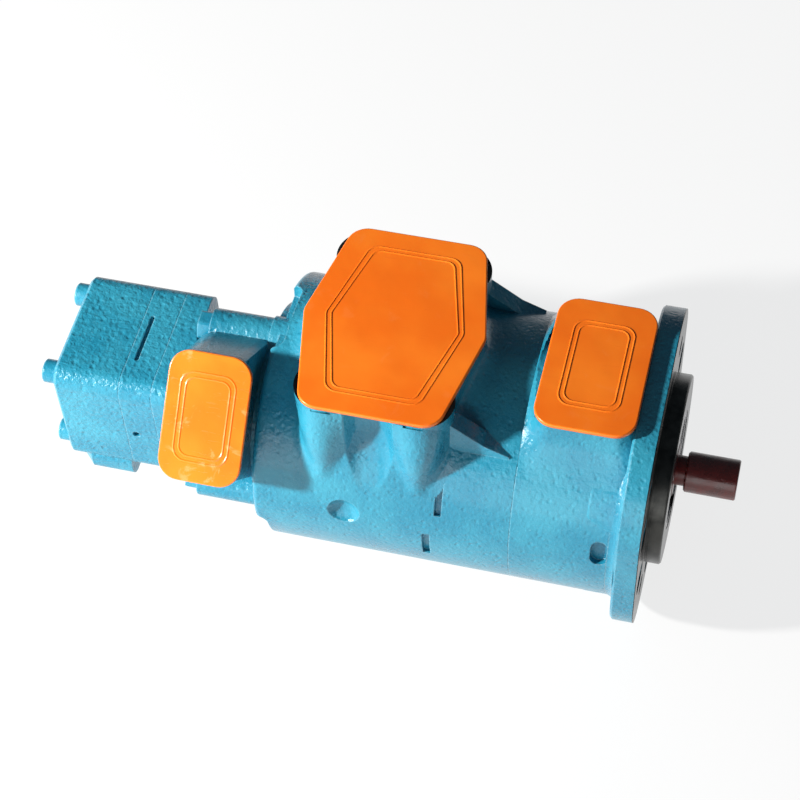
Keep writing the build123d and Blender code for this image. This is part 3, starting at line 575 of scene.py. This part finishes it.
flareShape = {
    "start": -37.0 * mm,               # over the bolt reliefs, so that their mouths are closed
    "bend": -21.0 * mm,
    "foot": -15.2 * mm,
    "sunk": 1.0 * mm,                  # both ends of the ring lie this far under the body
    "rise": 4.2 * mm,
    "lift": 0.15 * mm,
    "reliefs": (45.0, 135.0, 225.0, 315.0),
    "reliefReach": (16.0, 21.0),       # degrees to each side, full and gone
    "steps": 240,
    "rows": 9,
}


def makeFlare(material):
    # turned about X: radius = body + rise * (1 - sqrt(1 - s^2)) up to the flange, behind a thin band at the reliefs
    shape = flareShape
    turn = np.arange(shape["steps"]) * 2 * np.pi / shape["steps"]
    away = np.min([np.abs((np.degrees(turn) - at + 180) % 360 - 180) for at in shape["reliefs"]], axis=0)
    full, gone = shape["reliefReach"]
    band = np.clip((gone - away) / (gone - full), 0.0, 1.0)
    start = shape["bend"] + band * (shape["start"] - shape["bend"])
    level = bodyR + shape["lift"] * band
    profile = [(start, bodyR - shape["sunk"]), (start, bodyR - 0.1 * mm), (start + 2 * mm * band, level)]
    for s in np.linspace(0, 0.98, shape["rows"]):
        x = shape["bend"] + s * (shape["foot"] - shape["bend"])
        profile.append((x, level + shape["rise"] * (1 - np.sqrt(1 - s * s))))
    profile.append((shape["foot"], bodyR - shape["sunk"]))
    rings = [np.stack([x + 0 * turn, radius * np.cos(turn), radius * np.sin(turn)], axis=1) for x, radius in profile]
    count = shape["steps"]
    faces = ringFaces(len(rings), count)
    last = (len(rings) - 1) * count
    faces += [(last + step, last + (step + 1) % count, (step + 1) % count, step) for step in range(count)]
    piece = meshPiece("flange.flare", np.concatenate(rings), [face[::-1] for face in faces], material)
    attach(piece, "housing")


frontPaint = makeBluePaint("frontHousingPaint", 360.0, 0.60, 0.8)
inletPaint = makeBluePaint("inletHousingPaint", 360.0, 0.60, 0.85)
makeFlare(frontPaint)
print("flare made")


# ---- cast blends at the foot of the inlet neck and of the front boss

blendShape = {
    "sunk": 0.12 * mm,                 # the blend runs out this far under the body
    "alongStep": 0.9 * mm,
    "turnReach": 88.0,                 # degrees to each side of the top
    "turnStep": 0.6,
    "topGap": 1.2 * mm,                # the blend stops this far under the port's face
    "farR": 140 * mm,
    "walkSteps": 60,
    "walkShare": 0.85,
    "steepest": 7 * mm,                # most rise across one face; walls are steeper, and are the housing's own
    "inletFrom": -251.0 * mm,
    "frontSeam": -84.0 * mm,
    "flangeBack": -15.6 * mm,
    # plans: half length at the ends, half length in the middle, half width, corner
    "neck": (42.3 * mm, 57.4 * mm, 71.7 * mm, 14.0 * mm),
    "scallop": (77.9 * mm, 17.4 * mm),
    "lobeAt": (30.95 * mm, 53.2 * mm),     # along and across, from the port's middle
    "lobeR": (18.2 * mm, 2.0 * mm),
    "lobeTip": (76.5 * mm, 42.0 * mm),     # across, and height over the shaft axis
    "lobeFall": 2.4,
    "boss": (30.0 * mm, 30.0 * mm, 48.9 * mm, 9.5 * mm),
    "neckBlend": 15.0 * mm,
    "lobeBlend": 7.0 * mm,
    "bossBlend": 22.0 * mm,
}


def blendTwo(first, second, reach):
    # smooth union: mix(b, a, h) - k h (1 - h) with h = clamp(1/2 + (b - a) / 2k)
    h = np.clip(0.5 + 0.5 * (second - first) / reach, 0.0, 1.0)
    return second + (first - second) * h - reach * h * (1 - h)


def planDistance(x, y, sizes):
    # signed distance to a rounded six-sided plan: distance to the shrunk polygon, less the corner's radius
    halfEnd, halfMiddle, halfWide, corner = sizes
    far, middle, wide = halfEnd - corner, halfMiddle - corner, halfWide - corner
    points = [(far, -wide), (middle, 0.0), (far, wide), (-far, wide), (-middle, 0.0), (-far, -wide)]
    nearest = np.full(x.shape, np.inf)
    inside = np.full(x.shape, -np.inf)
    for (x0, y0), (x1, y1) in zip(points, points[1:] + points[:1]):
        edgeX, edgeY = x1 - x0, y1 - y0
        long = np.hypot(edgeX, edgeY)
        share = np.clip(((x - x0) * edgeX + (y - y0) * edgeY) / long ** 2, 0.0, 1.0)
        nearest = np.minimum(nearest, np.hypot(x - x0 - share * edgeX, y - y0 - share * edgeY))
        inside = np.maximum(inside, ((x - x0) * edgeY - (y - y0) * edgeX) / long)
    return np.where(inside < 0, inside, nearest) - corner


def lobeDistance(x, y, z, top):
    # a bolt boss that leans out and thins to a tip: distance to its axis, less
    # radius = topR + share ^ fall * (tipR - topR), share running from 0 at the top to 1 at the tip
    shape = blendShape
    acrossTop, (acrossTip, highTip), (topR, tipR) = shape["lobeAt"][1], shape["lobeTip"], shape["lobeR"]
    aside, down = acrossTip - acrossTop, highTip - top
    share = np.clip(((y - acrossTop) * aside + (z - top) * down) / (aside ** 2 + down ** 2), 0.0, 1.0)
    thick = topR + share ** shape["lobeFall"] * (tipR - topR)
    return np.sqrt(x ** 2 + (y - acrossTop - share * aside) ** 2 + (z - top - share * down) ** 2) - thick


def makeBlend(name, port, fromX, toX, field, material):
    # walks each ray from the shaft axis inwards by the field's own distance until it meets the surface, so that
    # the grid is radius(x, turn); parts under the body or steeper than a wall are left to the housing
    shape = blendShape
    portX, top = portPlace(port)[0][[0, 2]]
    along = np.linspace(fromX, toX, int((toX - fromX) / shape["alongStep"]))
    turn = np.radians(np.arange(-shape["turnReach"], shape["turnReach"] + 0.01, shape["turnStep"]))
    x, angle = np.meshgrid(along, turn, indexing="ij")

    def distance(radius):
        return field(x - portX, radius * np.sin(angle), radius * np.cos(angle), top)

    radius = np.minimum((top - shape["topGap"]) / np.maximum(np.cos(angle), 0.2), shape["farR"])
    covered = distance(radius) < 0
    for step in range(shape["walkSteps"]):
        radius = np.maximum(radius - shape["walkShare"] * distance(radius), bodyR)
    radius = radius - shape["sunk"]
    points = np.stack([x, radius * np.sin(angle), radius * np.cos(angle)], axis=-1).reshape(-1, 3)
    high = radius > bodyR - 0.5 * shape["sunk"]

    # the four corners of each face: first, next turn, next along and turn, next along
    near, far = slice(None, -1), slice(1, None)
    corners = [(near, near), (near, far), (far, far), (far, near)]
    index = np.arange(radius.size).reshape(radius.shape)
    faces = np.stack([index[corner] for corner in corners], axis=-1)
    rise = np.ptp([radius[corner] for corner in corners], axis=0)
    kept = ~np.any([covered[corner] for corner in corners], axis=0) & (rise <= shape["steepest"])
    kept &= np.any([high[corner] for corner in corners], axis=0)
    used, faces = np.unique(faces[kept], return_inverse=True)
    faces = faces.reshape(-1, 4)
    piece = meshPiece(name, points[used], faces.tolist(), material)
    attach(piece, "housing")
    print(name, len(faces), "faces")


def neckField(x, y, z, top):
    # body and neck plan joined, with a scallop cut in each side, then the four bolt lobes joined on
    shape = blendShape
    body = np.hypot(y, z) - bodyR
    side = np.abs(y)
    neck = planDistance(x, y, shape["neck"])
    scallopAt, scallopR = shape["scallop"]
    neck = np.maximum(neck, scallopR - np.hypot(x, side - scallopAt))
    cast = blendTwo(body, neck, shape["neckBlend"])
    lobes = lobeDistance(np.abs(x) - shape["lobeAt"][0], side, z, top)
    return blendTwo(cast, lobes, shape["lobeBlend"])


def bossField(x, y, z, top):
    # body and boss plan joined
    shape = blendShape
    body = np.hypot(y, z) - bodyR
    return blendTwo(body, planDistance(x, y, shape["boss"]), shape["bossBlend"])


makeBlend("neck.blend", "inlet_port", blendShape["inletFrom"], blendShape["frontSeam"], neckField, inletPaint)
makeBlend("boss.blend", "front_outlet_port", blendShape["frontSeam"], blendShape["flangeBack"], bossField, frontPaint)
print("cast blends made")

dress(frontPaint, "front_housing")
dress(inletPaint, "inlet_housing")
dress(makeBluePaint("rearHousingPaint", 330.0, 0.7, 1.0), "rear_housing")
dress(makeBluePaint("endStagePaint", 300.0, 0.8, 1.1, withBare=False), "rear_cam_ring", "end_cover")
dress(makeBluePaint("boltPaint", 420.0, 0.5, 0.5, withBare=False), "rear_housing_bolts", "end_cover_bolts",
      "end_outlet_plug")
dress(makeCap("capCoat"), "shaft_cap")
dress(makeShaftSteel("shaftSteel"), "drive_shaft")
dress(makeMetal("ringSteel", "hardSteel"), "front_cam_ring", "middle_cam_ring", "shaft_snap_ring",
      "bearing_retaining_ring")
dress(makeMetal("rotorSteel", "groundSteel"), "front_rotor", "middle_rotor", "rear_rotor", "front_vanes",
      "middle_vanes", "rear_vanes")
dress(makeMetal("plateBronze", "bronze"), "front_inlet_plate", "front_pressure_plate", "middle_inlet_plate",
      "middle_pressure_plate", "rear_inlet_plate", "rear_bushing", "end_bushing")
dress(makeMetal("ballSteel", "bearingSteel"), "bearing_balls", "bearing_inner_race", "bearing_outer_race")
dress(makeMetal("cageBrass", "brassCage"), "bearing_cage")
dress(makeMetal("washerSteel", "springSteel"), "front_plate_spring", "middle_plate_spring")
dress(makeMetal("screwOxide", "blackOxide"), "front_housing_screws")
dress(makeRubber("sealRubber"), "front_seam_seal", "rear_seam_seal", "shaft_seal")
print("finishes given to every node")

# ---- floor, lights and camera

studio = {
    "floorHalf": 3.0,
    "floorGap": 4 * mm,
    "floorTone": 0.90,
    "floorGlow": 0.80,                 # share of plain white that a direct look at the floor sees
    "target": (-0.18, 0.0, 0.03),
    "keyWay": (-0.79, -0.45, 0.42),
    "keyDistance": 1.7,
    "keySize": 0.10,
    "keyPower": 68.0,
    "fillWay": (0.0, -1.0, 0.02),
    "fillDistance": 1.6,
    "fillSize": 1.4,
    "fillPower": 15.0,
    "skyTone": (0.50, 0.78, 1.0),
    "skyLevel": 0.085,
    "skySheen": 0.06,                  # share of plain white that a reflection sees in the sky
}


def makeFloor():
    # a flat square under the pump; seen directly it is mostly plain white, and it still takes a shadow
    half = studio["floorHalf"]
    low = min(corner[2] for corner in cadBox) - studio["floorGap"]
    mesh = bpy.data.meshes.new("floor")
    corners = np.array([(-half, -half, low), (half, -half, low), (half, half, low), (-half, half, low)])
    mesh.from_pydata(corners.tolist(), [], [(0, 1, 2, 3)])
    floor = bpy.data.objects.new("floor", mesh)
    bpy.context.scene.collection.objects.link(floor)
    material = bpy.data.materials.new("floorPaint")
    material.use_nodes = True
    tree = material.node_tree
    shader = tree.nodes["Principled BSDF"]
    shader.inputs["Base Color"].default_value = (studio["floorTone"],) * 3 + (1.0,)
    shader.inputs["Roughness"].default_value = 0.9
    glow = addNode(tree, "ShaderNodeEmission", {"Color": (1.0, 1.0, 1.0, 1.0), "Strength": 1.0})
    path = tree.nodes.new("ShaderNodeLightPath").outputs
    seen = calc(tree, "MAXIMUM", path["Is Camera Ray"], path["Is Glossy Ray"])
    seen = calc(tree, "MAXIMUM", seen, path["Is Transmission Ray"])
    mix = addNode(tree, "ShaderNodeMixShader", {0: calc(tree, "MULTIPLY", seen, studio["floorGlow"])})
    tree.links.new(shader.outputs[0], mix.inputs[1])
    tree.links.new(glow.outputs[0], mix.inputs[2])
    tree.links.new(mix.outputs[0], tree.nodes["Material Output"].inputs["Surface"])
    mesh.materials.append(material)


def addLamp(name, way, distance, size, power, tone=(1.0, 1.0, 1.0)):
    # a square soft lamp that looks at the pump's middle
    lamp = bpy.data.lights.new(name, "AREA")
    lamp.shape = "SQUARE"
    lamp.size = size
    lamp.energy = power
    lamp.color = tone
    holder = bpy.data.objects.new(name, lamp)
    target = Vector(studio["target"])
    holder.location = target + Vector(way).normalized() * distance
    holder.rotation_euler = (target - holder.location).to_track_quat("-Z", "Y").to_euler()
    bpy.context.scene.collection.objects.link(holder)


def makeSky():
    # even pale light from all round
    world = bpy.data.worlds.new("studioSky")
    bpy.context.scene.world = world
    world.use_nodes = True
    tree = world.node_tree
    back = tree.nodes["Background"]
    back.inputs["Color"].default_value = (*studio["skyTone"], 1.0)
    back.inputs["Strength"].default_value = studio["skyLevel"]
    white = addNode(tree, "ShaderNodeBackground", {"Color": (1.0, 1.0, 1.0, 1.0), "Strength": 1.0})
    path = tree.nodes.new("ShaderNodeLightPath").outputs
    seen = calc(tree, "MULTIPLY_ADD", path["Is Glossy Ray"], studio["skySheen"], path["Is Camera Ray"], clamp=True)
    mix = addNode(tree, "ShaderNodeMixShader", {0: seen})
    tree.links.new(back.outputs[0], mix.inputs[1])
    tree.links.new(white.outputs[0], mix.inputs[2])
    tree.links.new(mix.outputs[0], tree.nodes["World Output"].inputs["Surface"])


makeFloor()
makeSky()
addLamp("keyLamp", studio["keyWay"], studio["keyDistance"], studio["keySize"], studio["keyPower"], (1.0, 0.98, 0.95))
addLamp("fillLamp", studio["fillWay"], studio["fillDistance"], studio["fillSize"], studio["fillPower"])

cameraValues = {
    "place": (0.0577, -0.7890, 1.1545),
    "forward": (-0.1673, 0.5640, -0.8086),
    "up": (-0.1720, 0.7909, 0.5873),
    "lens": 94.6,
}


def makeCamera():
    # looks down on the pump from the side that the covers face
    data = bpy.data.cameras.new("camera")
    data.sensor_width = 36.0
    data.lens = cameraValues["lens"]
    data.clip_end = 20.0
    camera = bpy.data.objects.new("camera", data)
    ahead = Vector(cameraValues["forward"]).normalized()
    right = ahead.cross(Vector(cameraValues["up"])).normalized()
    upward = right.cross(ahead)
    turn = Matrix((right, upward, -ahead)).transposed()
    camera.matrix_world = Matrix.Translation(Vector(cameraValues["place"])) @ turn.to_4x4()
    bpy.context.scene.collection.objects.link(camera)
    bpy.context.scene.camera = camera


makeCamera()
bpy.context.scene.view_settings.view_transform = "Standard"
print("floor, lights and camera placed")
